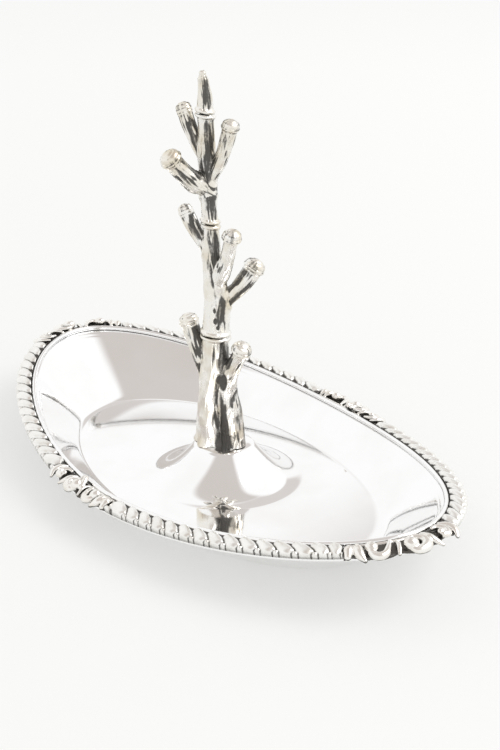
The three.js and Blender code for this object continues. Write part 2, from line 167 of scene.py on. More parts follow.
# How far patina and painted shade cover the silver: in the marks that a piece carries and in its recesses,
# with broken edges
def patinaAndShadeShare(tree, look, grain):
    marked = addNode(tree, "Attribute", attribute_name="patinaAndShade").outputs["Fac"]
    reach = look["recess"] * millimetre
    # The ambient occlusion darkens the recesses: painted shade, laid over the patina that lies there
    recess = addNode(tree, "AmbientOcclusion", {"Distance": reach}, samples=surface["recessRays"])
    shadedRecess = addNode(tree, "MapRange", {
        "Value": recess.outputs["AO"], "From Min": look["recessFrom"], "From Max": look["recessTo"],
        "To Min": 1.0, "To Max": 0.0})
    both = addNode(tree, "Math", {0: marked, 1: shadedRecess.outputs["Result"]}, operation="MAXIMUM")
    broken = addNode(tree, "MapRange", {
        "Value": grain, "From Min": surface["grainFrom"], "From Max": surface["grainTo"],
        "To Min": -look["broken"], "To Max": look["broken"]})
    edge = addNode(tree, "Math", {0: both.outputs[0], 1: broken.outputs["Result"]}, operation="ADD")
    dark = addNode(tree, "MapRange", {
        "Value": edge.outputs[0], "From Min": look["edge"][0], "From Max": look["edge"][1]},
        interpolation_type="SMOOTHSTEP")
    share = addNode(tree, "Math", {0: dark.outputs["Result"], 1: look["patinaAndShade"]}, operation="MULTIPLY")
    return share.outputs[0]


# Silver with a dark sulphide patina where a cloth doesn't reach, painted shade in its recesses, and a soft
# shine where it does
def silver(name, look):
    material = bpy.data.materials.new(name)
    material.use_nodes = True
    tree = material.node_tree
    tree.nodes.clear()
    place = addNode(tree, "TexCoord").outputs["Object"]
    clouds = addNode(tree, "TexNoise", {
        "Vector": place, "Scale": perMetre / look["cloudSize"], "Detail": surface["cloudDetail"]})
    grain = addNode(tree, "TexNoise", {
        "Vector": place, "Scale": perMetre / look["grainSize"], "Detail": surface["grainDetail"]})
    warm = addNode(tree, "MapRange", {
        "Value": clouds.outputs["Fac"], "From Min": surface["warmFrom"], "From Max": surface["warmTo"]})
    colour = addNode(tree, "MixRGB", {
        "Fac": warm.outputs["Result"], "Color1": linear(look["bright"]), "Color2": linear(look["warm"])})
    colour = colour.outputs["Color"]
    rough = addNode(tree, "MapRange", {
        "Value": clouds.outputs["Fac"], "To Min": look["rough"][0], "To Max": look["rough"][1]})
    rough = rough.outputs["Result"]
    if "patinaAndShade" in look:
        dark = patinaAndShadeShare(tree, look, grain.outputs["Fac"])
        # The dark colour serves both the patina and the painted shade
        darkened = {"Fac": dark, "Color1": colour, "Color2": linear(look["oxideAndShade"])}
        colour = addNode(tree, "MixRGB", darkened).outputs["Color"]
        duller = addNode(tree, "Math", {0: dark, 1: surface["duller"]}, operation="MULTIPLY").outputs[0]
        rough = addNode(tree, "Math", {0: rough, 1: duller}, operation="ADD").outputs[0]
    bump = addNode(tree, "Bump", {
        "Height": grain.outputs["Fac"], "Strength": 1.0, "Distance": look["grainDepth"] * millimetre})
    shader = addNode(tree, "BsdfPrincipled", {
        "Base Color": colour, "Metallic": 1.0, "Roughness": rough, "Normal": bump.outputs["Normal"]})
    addNode(tree, "OutputMaterial", {"Surface": shader.outputs["BSDF"]})
    return material


# polished: wiped to a mirror. border and mount: rubbed bright on top, black in the grooves, where oxide and
# painted
# shade lie together. bark: cast, with warm tarnish on the bright side and patina in the furrows, and painted
# shade in its
# recesses. turned: plain and a little dull, as it never shows. Sizes and depths are in mm.
finishes = {
    "polishedSilver": {"bright": "#F9F9F9", "warm": "#F4F3F2", "rough": (0.03, 0.08), "cloudSize": 14,
                       "grainSize": 0.5, "grainDepth": 0.0004},
    "borderSilver": {"bright": "#F5F4F1", "warm": "#E9E6E0", "rough": (0.24, 0.36), "cloudSize": 3,
                     "grainSize": 0.35, "grainDepth": 0.006, "patinaAndShade": 0.92, "oxideAndShade": "#3F3B38",
                     "recess": 1.0, "recessFrom": 0.2, "recessTo": 0.75, "broken": 0.12, "edge": (0.2, 0.95)},
    "mountSilver": {"bright": "#F5F3EF", "warm": "#E9E4DC", "rough": (0.14, 0.28), "cloudSize": 2.5,
                    "grainSize": 0.3, "grainDepth": 0.01, "patinaAndShade": 0.92, "oxideAndShade": "#45413D",
                    "recess": 1.5, "recessFrom": 0.2, "recessTo": 0.85, "broken": 0.12, "edge": (0.18, 0.9)},
    "barkSilver": {"bright": "#F3F1EC", "warm": "#DED4C0", "rough": (0.2, 0.36), "cloudSize": 4.5,
                   "grainSize": 0.45, "grainDepth": 0.02, "patinaAndShade": 0.92, "oxideAndShade": "#484644",
                   "recess": 0.9, "recessFrom": 0.3, "recessTo": 0.75, "broken": 0.14, "edge": (0.12, 0.85)},
    "turnedSilver": {"bright": "#DAD7D2", "warm": "#CBC6BE", "rough": (0.28, 0.42), "cloudSize": 2,
                     "grainSize": 0.2, "grainDepth": 0.006},
}
silvers = {name: silver(name, look) for name, look in finishes.items()}
print("materials ready")


# Rim: a squared oval whose ends rise above its sides, as the CAD has it

rimSize = {"length": 119, "width": 62.8, "sideHeight": 6.35, "endHeight": 12.6, "squareness": 1.89,
           "liftPower": 1.75, "liftEase": 4, "flange": 3.3, "border": 3.9, "fall": 0.7, "sheet": 0.8,
           "solder": 0.15, "stops": 2881}
ovalEase = 0.004


def ovalPoints(length, width, squareness, turn):
    power = 2 / squareness - 1
    c, s = np.cos(turn), np.sin(turn)
    x = (length / 2) * c * (c * c + ovalEase) ** (power / 2)
    y = (width / 2) * s * (s * s + ovalEase) ** (power / 2)
    return np.stack([x, y, np.zeros_like(x)], -1)


def rimPoints(turn):
    points = ovalPoints(rimSize["length"], rimSize["width"], rimSize["squareness"], turn)
    half, ease, power = rimSize["length"] / 2, rimSize["liftEase"], rimSize["liftPower"]
    share = ((points[..., 0] ** 2 + ease ** 2) ** (power / 2) - ease ** power) / half ** power
    points[..., 2] = mix(rimSize["sideHeight"], rimSize["endHeight"], share)
    return points


def byRim(turn, outwards, above):
    nudge = tau / 1440
    tangent = unit(rimPoints(turn + nudge) - rimPoints(turn - nudge))
    level = unit(np.stack([tangent[..., 1], -tangent[..., 0], np.zeros_like(turn)], -1))
    upward = unit(np.cross(level, tangent))
    points = rimPoints(turn) + level * outwards[..., None] + upward * above[..., None]
    points[..., 2] -= rimSize["fall"] * np.maximum(outwards, 0) / rimSize["border"]
    return points


turnSteps = np.linspace(0, tau, rimSize["stops"])
rimSteps = rimPoints(turnSteps)
rimLengths = np.concatenate([[0], np.cumsum(np.linalg.norm(np.diff(rimSteps, axis=0), axis=1))])
rimRound = rimLengths[-1]


def alongRim(along, outwards, above):
    return byRim(np.interp(np.mod(along, rimRound), rimLengths, turnSteps), outwards, above)


# Dish: one pressed sheet, with the dome, the flat well, the wall and the flange

dishSize = {"wellLength": 85.4, "wellWidth": 47.4, "wellSquareness": 2, "domeFoot": 33, "domeCrown": 11.4,
            "domeHeight": 8.2, "domePower": 1.9, "studHole": 3, "turns": 360, "edge": 0.12, "bend": 0.12,
            "wallPower": 1.3, "bowl": 0.5, "lineDepth": 0.05, "lineInside": 1.5, "lineWidth": 0.22}
# Rings of the sheet, as (from, to, count): the crown, the dome's slope, the well, the wall twice, the flange
sheetRings = [(0, 1, 3), (1, 2, 36), (2, 3, 10), (3, 3.75, 24), (3.75, 4, 26), (4, 5 - dishSize["edge"], 7)]


# Height of the wall: a quick bend at the well, and steeper towards the rim
def wallRise(share):
    bend = dishSize["bend"]
    slope = np.where(share < bend, share ** 2 / (2 * bend), share - bend / 2)
    slope = np.where(share > 1 - bend, 1 - bend - (1 - share) ** 2 / (2 * bend), slope) / (1 - bend)
    return mix(slope, share ** dishSize["wallPower"], dishSize["bowl"])


# A point of the sheet's middle, by its turn and by its zone, where each whole number starts the next zone
def sheetMiddle(turn, across):
    sheet = rimSize["sheet"]
    crown, floor = dishSize["domeHeight"] - sheet / 2, sheet / 2
    around = np.stack([np.cos(turn), np.sin(turn), np.zeros_like(turn)], -1)
    up = np.array([0, 0, 1.0])
    crownWidth = mix(dishSize["studHole"], dishSize["domeCrown"], np.clip(across, 0, 1))
    onCrown = around * crownWidth[:, None] / 2 + up * crown
    slope = np.clip(across - 1, 0, 1)
    onSlope = around * mix(dishSize["domeCrown"], dishSize["domeFoot"], slope)[:, None] / 2
    onSlope = onSlope + up * mix(floor, crown, (1 - slope) ** dishSize["domePower"])[:, None]
    wellEdge = ovalPoints(dishSize["wellLength"], dishSize["wellWidth"], dishSize["wellSquareness"], turn)
    wellEdge = wellEdge + up * floor
    foot = around * dishSize["domeFoot"] / 2 + up * floor
    onWell = mix(foot, wellEdge, np.clip(across - 2, 0, 1)[:, None])
    rim = rimPoints(turn)
    rise = np.clip(across - 3, 0, 1)
    onWall = mix(wellEdge, rim, rise[:, None])
    inside = (1 - rise) * np.linalg.norm(rim - wellEdge, axis=1)
    fromLine = (inside - dishSize["lineInside"]) / dishSize["lineWidth"]
    bendLine = dishSize["lineDepth"] * np.exp(-fromLine ** 2)
    onWall[:, 2] = mix(floor, rim[:, 2], wallRise(rise)) - bendLine
    onFlange = byRim(turn, np.maximum(across - 4, 0) * rimSize["flange"], np.zeros_like(turn))
    zone = np.floor(across).astype(int)[:, None]
    return np.select([zone < 1, zone < 2, zone < 3, zone < 4], [onCrown, onSlope, onWell, onWall], onFlange)


# A point of either face of the sheet. Beside the crown's edge the lean is read on the slope.
def sheetFace(points):
    nudge, slopeInner, slopeOuter = 1e-3, 1.0001, 1.002
    turn = np.arctan2(points[:, 1], points[:, 0])
    across, side = np.hypot(points[:, 0], points[:, 1]) - 1, points[:, 2]
    inner = np.maximum(across - nudge, slopeInner)
    outer = np.maximum(across, slopeOuter) + nudge
    around = sheetMiddle(turn + nudge, across) - sheetMiddle(turn - nudge, across)
    radial = sheetMiddle(turn, outer) - sheetMiddle(turn, inner)
    upright = unit(np.cross(radial, around))
    flat = (across <= 1) | ((across >= 2) & (across <= 3))
    upright[flat] = (0, 0, 1)
    upright[upright[:, 2] < 0] *= -1
    return sheetMiddle(turn, across) + upright * side[:, None] * rimSize["sheet"] / 2


def makeDish():
    edge, outermost = dishSize["edge"], sheetRings[-1][1]
    shares = [share for low, high, count in sheetRings
              for share in np.linspace(low, high, count, endpoint=False)] + [outermost]
    upper = [(share + 1, 1) for share in shares]
    rounded = [(outermost + 1 + edge * math.cos(angle), math.sin(angle))
               for angle in np.linspace(math.pi / 2, -math.pi / 2, 9)]
    lower = [(share + 1, -1) for share in reversed(shares)]
    blank = turned(upper + rounded[1:-1] + lower, dishSize["turns"], closed=True)
    form(blank, sheetFace)
    bmesh.ops.recalc_face_normals(blank, faces=blank.faces)
    mesh = toMesh("dish", blank)
    finishPiece("dish_sheet", mesh, silvers["polishedSilver"], ["dish"])


makeDish()

# Bead: a round wire, soldered to the flange

beadSize = {"wire": 1.0, "sides": 16, "turns": 400, "spunRadius": 2, "sunk": 0.08}
flangeTop = rimSize["sheet"] / 2 + rimSize["solder"]


def makeBead():
    radius, wire = beadSize["spunRadius"], beadSize["wire"]
    angles = np.linspace(0, tau, beadSize["sides"], endpoint=False)
    section = [(radius + math.cos(a) / 2, math.sin(a) / 2) for a in angles]
    blank = turned(section, beadSize["turns"], closed=True)

    def place(points):
        outwards = (np.hypot(points[:, 0], points[:, 1]) - radius) * wire
        above = flangeTop - beadSize["sunk"] + (points[:, 2] + 0.5) * wire
        return byRim(np.arctan2(points[:, 1], points[:, 0]), outwards, above)

    form(blank, place)
    bmesh.ops.recalc_face_normals(blank, faces=blank.faces)
    mesh = toMesh("bead", blank)
    finishPiece("bead_wire", mesh, silvers["polishedSilver"], ["rim_bead"])


makeBead()

# Border: strips of gadroons between the four mounts, whose outer ends slant towards the ends of the dish

borderSize = {"inner": 0.62, "width": 3.28, "height": 1.75, "pitch": 3.3, "slant": 2.2, "slantFrom": -0.2,
              "slantTo": 0.85, "around": 40, "perLobe": 30, "topShare": 0.8, "underShare": 0.2,
              "cutBack": 0.4, "groove": 0.58, "sunk": 0.12, "gap": 0.15, "weld": 1e-4}
archShape = {"edge": 0.62, "rise": 0.38, "power": 0.7}
lobeShape = {"atBead": 0.26, "middle": 0.49, "middleFrom": 0.35, "atEdge": 0.62, "edgeFrom": 0.7,
             "power": 2.3, "round": 0.6, "dart": 0.7, "dartHalf": 0.15, "dartFrom": 0.72, "dartTo": 0.9}
grooveShade = {"start": 1.25, "fall": 2.1, "atEdge": 0.85, "edgeFrom": 0.3}
mountSize = {"half": 9.8, "reach": 5.85, "sideReach": 5.15, "plate": 0.5, "plateCuts": 47, "eastShift": -3.2,
             "sides": 10, "voxel": 0.11, "easing": 4, "darkUnder": 0.5, "brightOver": 1.0, "sunk": 0.1}
mountNames = ["east", "north", "west", "south"]
mountCentres = [i * rimRound / 4 + (mountSize["eastShift"] if i == 0 else 0) for i in range(4)]


# A lobe is narrow beside the bead and at the edge, where a low dart lies between it and the next
def gadroonRelief(phase, across):
    shape = lobeShape
    narrowing = mix(1.0, shape["atEdge"], smoothStep(across, shape["edgeFrom"], 1))
    half = mix(shape["atBead"], shape["middle"], smoothStep(across, 0, shape["middleFrom"])) * narrowing
    lobe = np.clip(1 - np.abs(phase / half) ** shape["power"], 0, 1) ** shape["round"]
    dart = np.clip(1 - ((0.5 - np.abs(phase)) / shape["dartHalf"]) ** 2, 0, 1) ** shape["round"]
    lowDart = shape["dart"] * dart * smoothStep(across, shape["dartFrom"], shape["dartTo"])
    return np.maximum(lobe, lowDart)


# Dark in the grooves, a little less so at the edge
def gadroonShade(across, ridge):
    dark = np.clip(grooveShade["start"] - grooveShade["fall"] * ridge, 0, 1)
    return dark * mix(1.0, grooveShade["atEdge"], smoothStep(across, grooveShade["edgeFrom"], 1))


# The strip's blank is a flat grid, wrapped over the top of the section and then under it
def makeGadroons(number, start, end):
    length = end - start
    lobes = round(length / borderSize["pitch"])
    pitch = length / lobes
    slant = borderSize["slant"] * (1 if number % 2 else -1)
    blank = bmesh.new()
    columns, rows = lobes * borderSize["perLobe"], borderSize["around"]
    bmesh.ops.create_grid(blank, x_segments=columns, y_segments=rows, size=0.5)

    def lobeAt(points):
        along, turn = (points[:, 0] + 0.5) * length, points[:, 1] + 0.5
        across = (1 - np.cos(math.pi * np.clip(turn / borderSize["topShare"], 0, 1))) / 2
        ends = np.minimum(np.minimum(along, length - along) / pitch, 1)
        lean = smoothStep(across, borderSize["slantFrom"], borderSize["slantTo"])
        slanted = (along + slant * ends * lean) / pitch
        return along, turn, across, gadroonRelief(np.mod(slanted, 1) - 0.5, across)

    def place(points):
        along, turn, across, ridge = lobeAt(points)
        top = np.clip(turn / borderSize["topShare"], 0, 1)
        rounded = archShape["edge"] + archShape["rise"] * np.sin(math.pi * top) ** archShape["power"]
        arch = np.where((top <= 0) | (top >= 1), 0, rounded)
        under = turn > borderSize["topShare"]
        above = np.where(under, 0, borderSize["height"] * arch * mix(borderSize["groove"], 1.0, ridge))
        sunkEdge = borderSize["cutBack"] * (1 - ridge) * smoothStep(across, 0, 1)
        cutBack = np.where(under, borderSize["cutBack"], sunkEdge)
        returning = 1 - (turn - borderSize["topShare"]) / borderSize["underShare"]
        across = np.where(under, returning, across)
        outwards = borderSize["inner"] + across * (borderSize["width"] - cutBack)
        return alongRim(start + along, outwards, flangeTop - borderSize["sunk"] + above)

    flat = np.array([corner.co for corner in blank.verts])
    across, ridge = lobeAt(flat)[2:]
    layer = blank.verts.layers.float.new("patinaAndShade")
    for corner, value in zip(blank.verts, gadroonShade(across, ridge)):
        corner[layer] = float(value)
    form(blank, place)
    bmesh.ops.remove_doubles(blank, verts=blank.verts, dist=borderSize["weld"])
    bmesh.ops.holes_fill(blank, edges=[edge for edge in blank.edges if edge.is_boundary], sides=0)
    bmesh.ops.recalc_face_normals(blank, faces=blank.faces)
    name = "gadroon_%d" % number
    finishPiece(name + "_lobes", toMesh(name, blank), silvers["borderSilver"], [name])


for i, centre in enumerate(mountCentres):
    after = mountCentres[i + 1] if i < 3 else mountCentres[0] + rimRound
    makeGadroons(i + 1, centre + mountSize["half"] + borderSize["gap"],
                 after - mountSize["half"] - borderSize["gap"])


# Strokes: tapered round bars bent along a smooth path

def smoothPath(knots, steps=10):
    knots = np.asarray(knots, dtype=float)
    padded = np.concatenate([[2 * knots[0] - knots[1]], knots, [2 * knots[-1] - knots[-2]]])
    rows = []
    for a, b, c, d in zip(padded, padded[1:], padded[2:], padded[3:]):
        for share in np.linspace(0, 1, steps, endpoint=False):
            rows.append(0.5 * (2 * b + (c - a) * share + (2 * a - 5 * b + 4 * c - d) * share ** 2
                               + (3 * b - a - 3 * c + d) * share ** 3))
    rows.append(knots[-1])
    return np.array(rows)


def pathLengths(path):
    return np.concatenate([[0], np.cumsum(np.linalg.norm(np.diff(path, axis=0), axis=1))])


def onPath(path, across, points):
    lengths = pathLengths(path)
    tangents = np.gradient(path, lengths, axis=0)
    along = np.clip(points[:, 2], 0, lengths[-1])
    middle = np.stack([np.interp(along, lengths, path[:, k]) for k in range(3)], -1)
    tangent = unit(np.stack([np.interp(along, lengths, tangents[:, k]) for k in range(3)], -1))
    outer = unit(np.cross(np.broadcast_to(across, tangent.shape), tangent))
    side = np.cross(tangent, outer)
    beyond = (points[:, 2] - along)[:, None]
    return middle + tangent * beyond + outer * points[:, :1] + side * points[:, 1:2]


capSteps = 5
thinnest = 0.12


# Both ends of a stroke are rounded, and its knots are (x, y, z, radius)
def addStroke(whole, knots):
    rows = smoothPath(knots)
    path, radii = rows[:, :3], np.maximum(rows[:, 3], thinnest)
    lengths = pathLengths(path)
    arc = np.linspace(0, math.pi / 2, capSteps)
    profile = [(radii[0] * math.sin(a), -radii[0] * math.cos(a)) for a in arc[:-1]]
    profile += list(zip(radii, lengths))
    profile += [(radii[-1] * math.cos(a), lengths[-1] + radii[-1] * math.sin(a)) for a in arc[1:]]
    profile[0], profile[-1] = (0, profile[0][1]), (0, profile[-1][1])
    blank = turned(profile, mountSize["sides"])
    gather(whole, form(blank, lambda points: onPath(path, np.array([0, 0, 1.0]), points)))


# Scroll mounts: cast leaves and scrolls on a dark ground. Each stroke is (along, out, above, radius), from
# end to end.

endStrokes = {
    "pearl": [(-9.0, 1.9, 0.9, 0.6), (-9.0, 2.9, 1.15, 0.85), (-9.1, 4.1, 0.8, 0.6)],
    "bud": [(-7.7, 1.2, 0.9, 0.3), (-7.6, 2.5, 1.25, 0.75), (-7.3, 3.9, 1.1, 0.85), (-6.6, 5.2, 0.6, 0.35)],
    "leftVolute": [(-5.5, 2.8, 1.45, 1.05), (-5.4, 3.0, 1.45, 1.05)],
    "leftScroll": [(-5.6, 2.9, 1.3, 0.7), (-5.4, 4.1, 1.15, 0.7), (-4.5, 4.8, 1.05, 0.75),
                   (-3.5, 4.3, 1.1, 0.65), (-2.9, 3.1, 1.2, 0.5), (-2.5, 2.0, 1.1, 0.4),
                   (-2.2, 1.1, 1.0, 0.3)],
    "middleLeaf": [(-1.1, 1.4, 0.9, 0.3), (-1.2, 3.0, 1.15, 0.42), (-1.6, 4.6, 0.7, 0.3)],
    "rightVolute": [(0.5, 3.3, 1.5, 1.1), (0.6, 3.5, 1.5, 1.1)],
    "rightRing": [(0.3, 2.4, 1.3, 0.5), (1.2, 1.7, 1.2, 0.5), (2.3, 2.1, 1.2, 0.6), (2.9, 3.3, 1.2, 0.75),
                  (2.4, 4.6, 1.1, 0.9), (1.2, 4.9, 1.0, 0.75), (0.5, 4.3, 1.1, 0.5)],
    "pointedLeaf": [(3.6, 1.3, 0.95, 0.3), (4.0, 3.1, 1.25, 0.55), (4.7, 5.3, 0.75, 0.3)],
    "hook": [(6.1, 1.2, 1.0, 0.35), (7.1, 1.6, 1.15, 0.5), (7.6, 2.8, 1.2, 0.6), (7.1, 4.0, 1.15, 0.65),
             (6.3, 3.8, 1.2, 0.6)],
    "hookEye": [(6.2, 3.1, 1.4, 0.6), (6.3, 3.2, 1.4, 0.6)],
    "outerLeaf": [(8.4, 1.1, 1.0, 0.3), (8.9, 2.6, 1.2, 0.6), (8.8, 4.2, 1.05, 0.7), (8.0, 5.3, 0.7, 0.35)],
    "band": [(-9.3, 1.0, 0.45, 0.35), (-5.0, 1.0, 0.5, 0.4), (0.0, 1.0, 0.5, 0.4), (4.5, 1.0, 0.45, 0.35)],
}
# The leaf of a side mount, which laps over the outer half of the bead
lapStrokes = {
    "lapLeaf": [(-0.8, 2.8, 1.2, 0.5), (0.0, 1.5, 1.8, 0.6), (0.5, 0.8, 1.9, 0.55), (0.8, 0.4, 1.6, 0.3)],
    "lapVein": [(1.0, 2.6, 1.2, 0.35), (1.3, 1.4, 1.7, 0.4), (1.6, 0.6, 1.7, 0.35)],
}
# The plate's uneven outer edge, as shares of the reach
plateEdge = [0.7, 0.6, 0.66, 0.74, 0.7, 0.78, 0.72, 0.62, 0.7, 0.78, 0.74, 0.64, 0.7, 0.62, 0.6, 0.72, 0.66]


def addPlate(whole, reach):
    blank = bmesh.new()
    bmesh.ops.create_cube(blank, size=1)
    long = [edge for edge in blank.edges if abs(edge.verts[0].co.x - edge.verts[1].co.x) > 0.5]
    bmesh.ops.subdivide_edges(blank, edges=long, cuts=mountSize["plateCuts"])

    def place(points):
        x = points[:, 0] * 2 * mountSize["half"]
        stop = (points[:, 0] + 0.5) * (len(plateEdge) - 1)
        edge = np.interp(stop, np.arange(len(plateEdge)), plateEdge)
        y = mix(borderSize["inner"], reach * edge, points[:, 1] + 0.5)
        return np.stack([x, y, (points[:, 2] + 0.5) * mountSize["plate"]], -1)

    gather(whole, form(blank, place))


def makeMount(index):
    onSide = index in (1, 3)
    reach = mountSize["sideReach"] if onSide else mountSize["reach"]
    narrower = reach / mountSize["reach"]
    facing = -1 if onSide else 1
    whole = bmesh.new()
    addPlate(whole, reach)
    strokes = {**endStrokes, **(lapStrokes if onSide else {})}
    for name, knots in strokes.items():
        share = 1 if name in lapStrokes else narrower
        addStroke(whole, [(facing * x, y * share, z, r) for x, y, z, r in knots])
    mesh = fuse("mount", whole, mountSize["voxel"], mountSize["easing"])
    points = meshPoints(mesh)
    addShade(mesh, "patinaAndShade", 1 - smoothStep(points[:, 2], mountSize["darkUnder"], mountSize["brightOver"]))
    points[:, 0] = np.clip(points[:, 0], -mountSize["half"], mountSize["half"])
    above = flangeTop - mountSize["sunk"] + np.maximum(points[:, 2], 0)
    setPoints(mesh, alongRim(mountCentres[index] + points[:, 0], points[:, 1], above))
    name = "scroll_mount_" + mountNames[index]
    finishPiece(name + "_casting", mesh, silvers["mountSilver"], [name])


for i in range(4):
    makeMount(i)


# Tree: a leaning trunk with double rings at its joints, a second stem by its foot, eight cut-off branches

treeSize = {"foot": 8.35, "joints": (31.85, 54.95, 76.65), "top": 84.75, "tip": 1.5, "lean": 4.2,
            "leanFrom": 15.35, "leanHeading": 234.5, "reach": 8.3, "branch": 3.0, "branchEnd": 4.4,
            "bendUp": 0.36, "bendOut": 0.55, "ring": 0.62, "sunk": 0.3, "gap": 0.03, "step": 0.1,
            "sides": 56, "branchSides": 32, "voxel": 0.13, "easing": 2}
ringSize = {"rise": 0.45, "height": 0.8, "gap": 0.22, "tilt": 0.28, "tiltHeading": 55}
coreSize = {"radius": 1.65, "foot": 8.1, "shoulder": 18, "top": 18.5, "sides": 24}
# The tip above the last ring, as (share of the trunk's width, height)
tipProfile = [(0.5, 0.08), (0.8, 0.2), (0.84, 0.4), (0.58, 0.55), (0.42, 0.64), (0.6, 0.8), (0.68, 1),
              (0.58, 1.24), (0.32, 1.43), (0, 1.48)]
branchPlan = {
    "branch_low_left": {"on": 0, "root": 0.46, "tip": 1.13, "out": 0.9, "thick": 0.95, "neck": (0.9, 1.3),
                        "end": 0.95, "heading": 206, "dirt": 0.3},
    "branch_low_right": {"on": 0, "end": 0.98, "heading": 14, "dirt": 0.0},
    "branch_mid_right": {"on": 1, "root": 0.24, "tip": 0.66, "out": 1.06, "thick": 1.05,
                         "neck": (0.8, 1.25), "end": 1.06, "heading": 63, "dirt": 0.3},
    "branch_mid_front": {"on": 1, "root": 0.42, "tip": 1.01, "out": 0.82, "thick": 0.92,
                         "neck": (1.35, 1.0), "end": 0.92, "heading": 2, "dirt": -0.28},
    "branch_mid_left": {"on": 1, "root": 0.69, "tip": 1.12, "out": 0.8, "thick": 0.82, "neck": (0.8, 1.25),
                        "end": 0.72, "heading": 204, "dirt": 0.25},
    "branch_top_front": {"on": 2, "root": 0.29, "tip": 0.69, "out": 1.06, "thick": 1.1,
                         "neck": (1.4, 1.15), "end": 1.04, "heading": 262, "dirt": 0.25},
    "branch_top_right": {"on": 2, "root": 0.34, "tip": 0.98, "out": 0.74, "thick": 0.85,
                         "neck": (0.8, 1.2), "end": 0.84, "heading": 21, "dirt": 0.04},
    "branch_top_left": {"on": 2, "root": 0.52, "tip": 1.06, "out": 0.68, "thick": 0.82,
                        "neck": (0.85, 1.25), "end": 0.74, "heading": 198, "dirt": 0.32},
}
# This branch is a second stem: it stands beside the trunk at the foot, and stemRows give its way and width
secondStem = "branch_low_right"
# Trunk, as (height, shift towards the second stem, radius)
trunkRows = [(8, -2.3, 3.2), (9.5, -2.5, 3.1), (12.9, -2.9, 2.8), (17.4, -2.85, 2.35), (21.8, -1.95, 2.5),
             (26.2, -1.1, 2.7), (31.85, -0.75, 2.7), (38.3, -0.05, 2.6), (44.3, -0.35, 2.15),
             (52.2, -0.3, 1.66), (59.3, -0.4, 1.6), (66, -0.2, 1.58), (73, 0, 1.6), (76.65, 0, 1.58),
             (80, 0.15, 1.42), (81.3, 0.1, 1.2), (83.25, 0, 1.02)]
# Second stem, as (way out, height, radius)
stemRows = [(2.65, 8.05, 2.55), (2.3, 12.5, 2.4), (1.6, 17, 2.35), (1.35, 20, 2.1), (1.65, 22.4, 1.95),
            (2.9, 25, 1.75), (4.8, 28.2, 1.62), (6.64, 31.4, 1.58)]


def wayOf(heading):
    return np.array([math.cos(math.radians(heading)), math.sin(math.radians(heading)), 0])


def leaning(height):
    height = np.asarray(height, dtype=float)
    share = np.maximum(height - treeSize["leanFrom"], 0) / (treeSize["top"] - treeSize["leanFrom"])
    aside = wayOf(treeSize["leanHeading"]) * (treeSize["lean"] * share)[..., None]
    return np.stack([0 * height, 0 * height, height], -1) + aside


rowSteps = 14
trunkCurve = smoothPath([(shift, 0, height, radius) for height, shift, radius in trunkRows], rowSteps)
stemCurve = smoothPath(stemRows, rowSteps)


def trunkMiddle(height):
    shift = np.interp(height, trunkCurve[:, 2], trunkCurve[:, 0])
    return leaning(height) - wayOf(treeSize["leanHeading"]) * shift[..., None]


def trunkRadius(height):
    return np.interp(height, trunkCurve[:, 2], trunkCurve[:, 3])


# Two rings at each joint, a little aslant
def ringRelief(height, angle):
    aslant = height + ringSize["tilt"] * np.cos(angle - math.radians(ringSize["tiltHeading"]))
    rise = 0
    for joint in treeSize["joints"]:
        for side in (-1, 1):
            middle = joint + side * (ringSize["height"] + ringSize["gap"]) / 2
            share = 1 - ((aslant - middle) / (ringSize["height"] / 2)) ** 2
            rise = rise + ringSize["rise"] * np.sqrt(np.clip(share, 0, 1))
    return rise


footShape = {"height": 4.2, "power": 2.6, "even": 0.8, "five": 0.35, "three": 0.25, "less": 0.7,
             "lessHeading": 325}


# The foot spreads into uneven toes, and less so in front
def footSpread(height, angle):
    low = np.clip(1 - (height - treeSize["foot"]) / footShape["height"], 0, 1) ** footShape["power"]
    toes = footShape["even"] + footShape["five"] * np.cos(5 * angle + 0.7)
    toes = toes + footShape["three"] * np.cos(3 * angle + 3.1)
    front = np.clip(np.cos(angle - math.radians(footShape["lessHeading"])), 0, 1)
    return low * (toes - footShape["less"] * front)


def addTrunk(whole, section):
    top, gap = treeSize["top"] - treeSize["tip"], treeSize["gap"]
    stops = [treeSize["foot"] - treeSize["sunk"] - gap, *treeSize["joints"], top + gap]
    low, high = stops[section] + gap, stops[section + 1] - gap
    heights = np.linspace(low, high, round((high - low) / treeSize["step"]))
    profile = [(0, low)] + [(1, height) for height in heights]
    if section == 3:
        profile += [(radius, top + height) for radius, height in tipProfile]
    else:
        profile.append((0, high))

    def place(points):
        angle, height = np.arctan2(points[:, 1], points[:, 0]), points[:, 2]
        wide = np.hypot(points[:, 0], points[:, 1])
        grown = trunkRadius(height) + ringRelief(height, angle) + footSpread(height, angle)
        radius = np.where(height > top + 0.01, wide, wide * grown)
        across = np.stack([np.cos(angle) * radius, np.sin(angle) * radius, 0 * angle], -1)
        return trunkMiddle(height) + across

    gather(whole, form(turned(profile, treeSize["sides"]), place))
    if section == 0:
        radius, foot, shoulder = coreSize["radius"], coreSize["foot"], coreSize["shoulder"]
        core = [(0, foot), (radius, foot), (radius, shoulder), (0, coreSize["top"])]
        gather(whole, turned(core, coreSize["sides"]))


# A branch bends up on its way out from the trunk's middle
def branchPath(name):
    plan = branchPlan[name]
    way = wayOf(plan["heading"])
    if name == secondStem:
        return leaning(stemCurve[:, 1]) + way * stemCurve[:, :1]
    span = [treeSize["foot"], *treeSize["joints"]][plan["on"]:plan["on"] + 2]

    def spot(up, out):
        return leaning(mix(*span, up)) + way * treeSize["reach"] * plan["out"] * out

    start, end = trunkMiddle(np.array(mix(*span, plan["root"]))), spot(plan["tip"], 1)
    bend = spot(mix(plan["root"], plan["tip"], treeSize["bendUp"]), treeSize["bendOut"])
    share = np.linspace(0, 1, 90)[:, None]
    return start * (1 - share) ** 2 + bend * 2 * share * (1 - share) + end * share ** 2


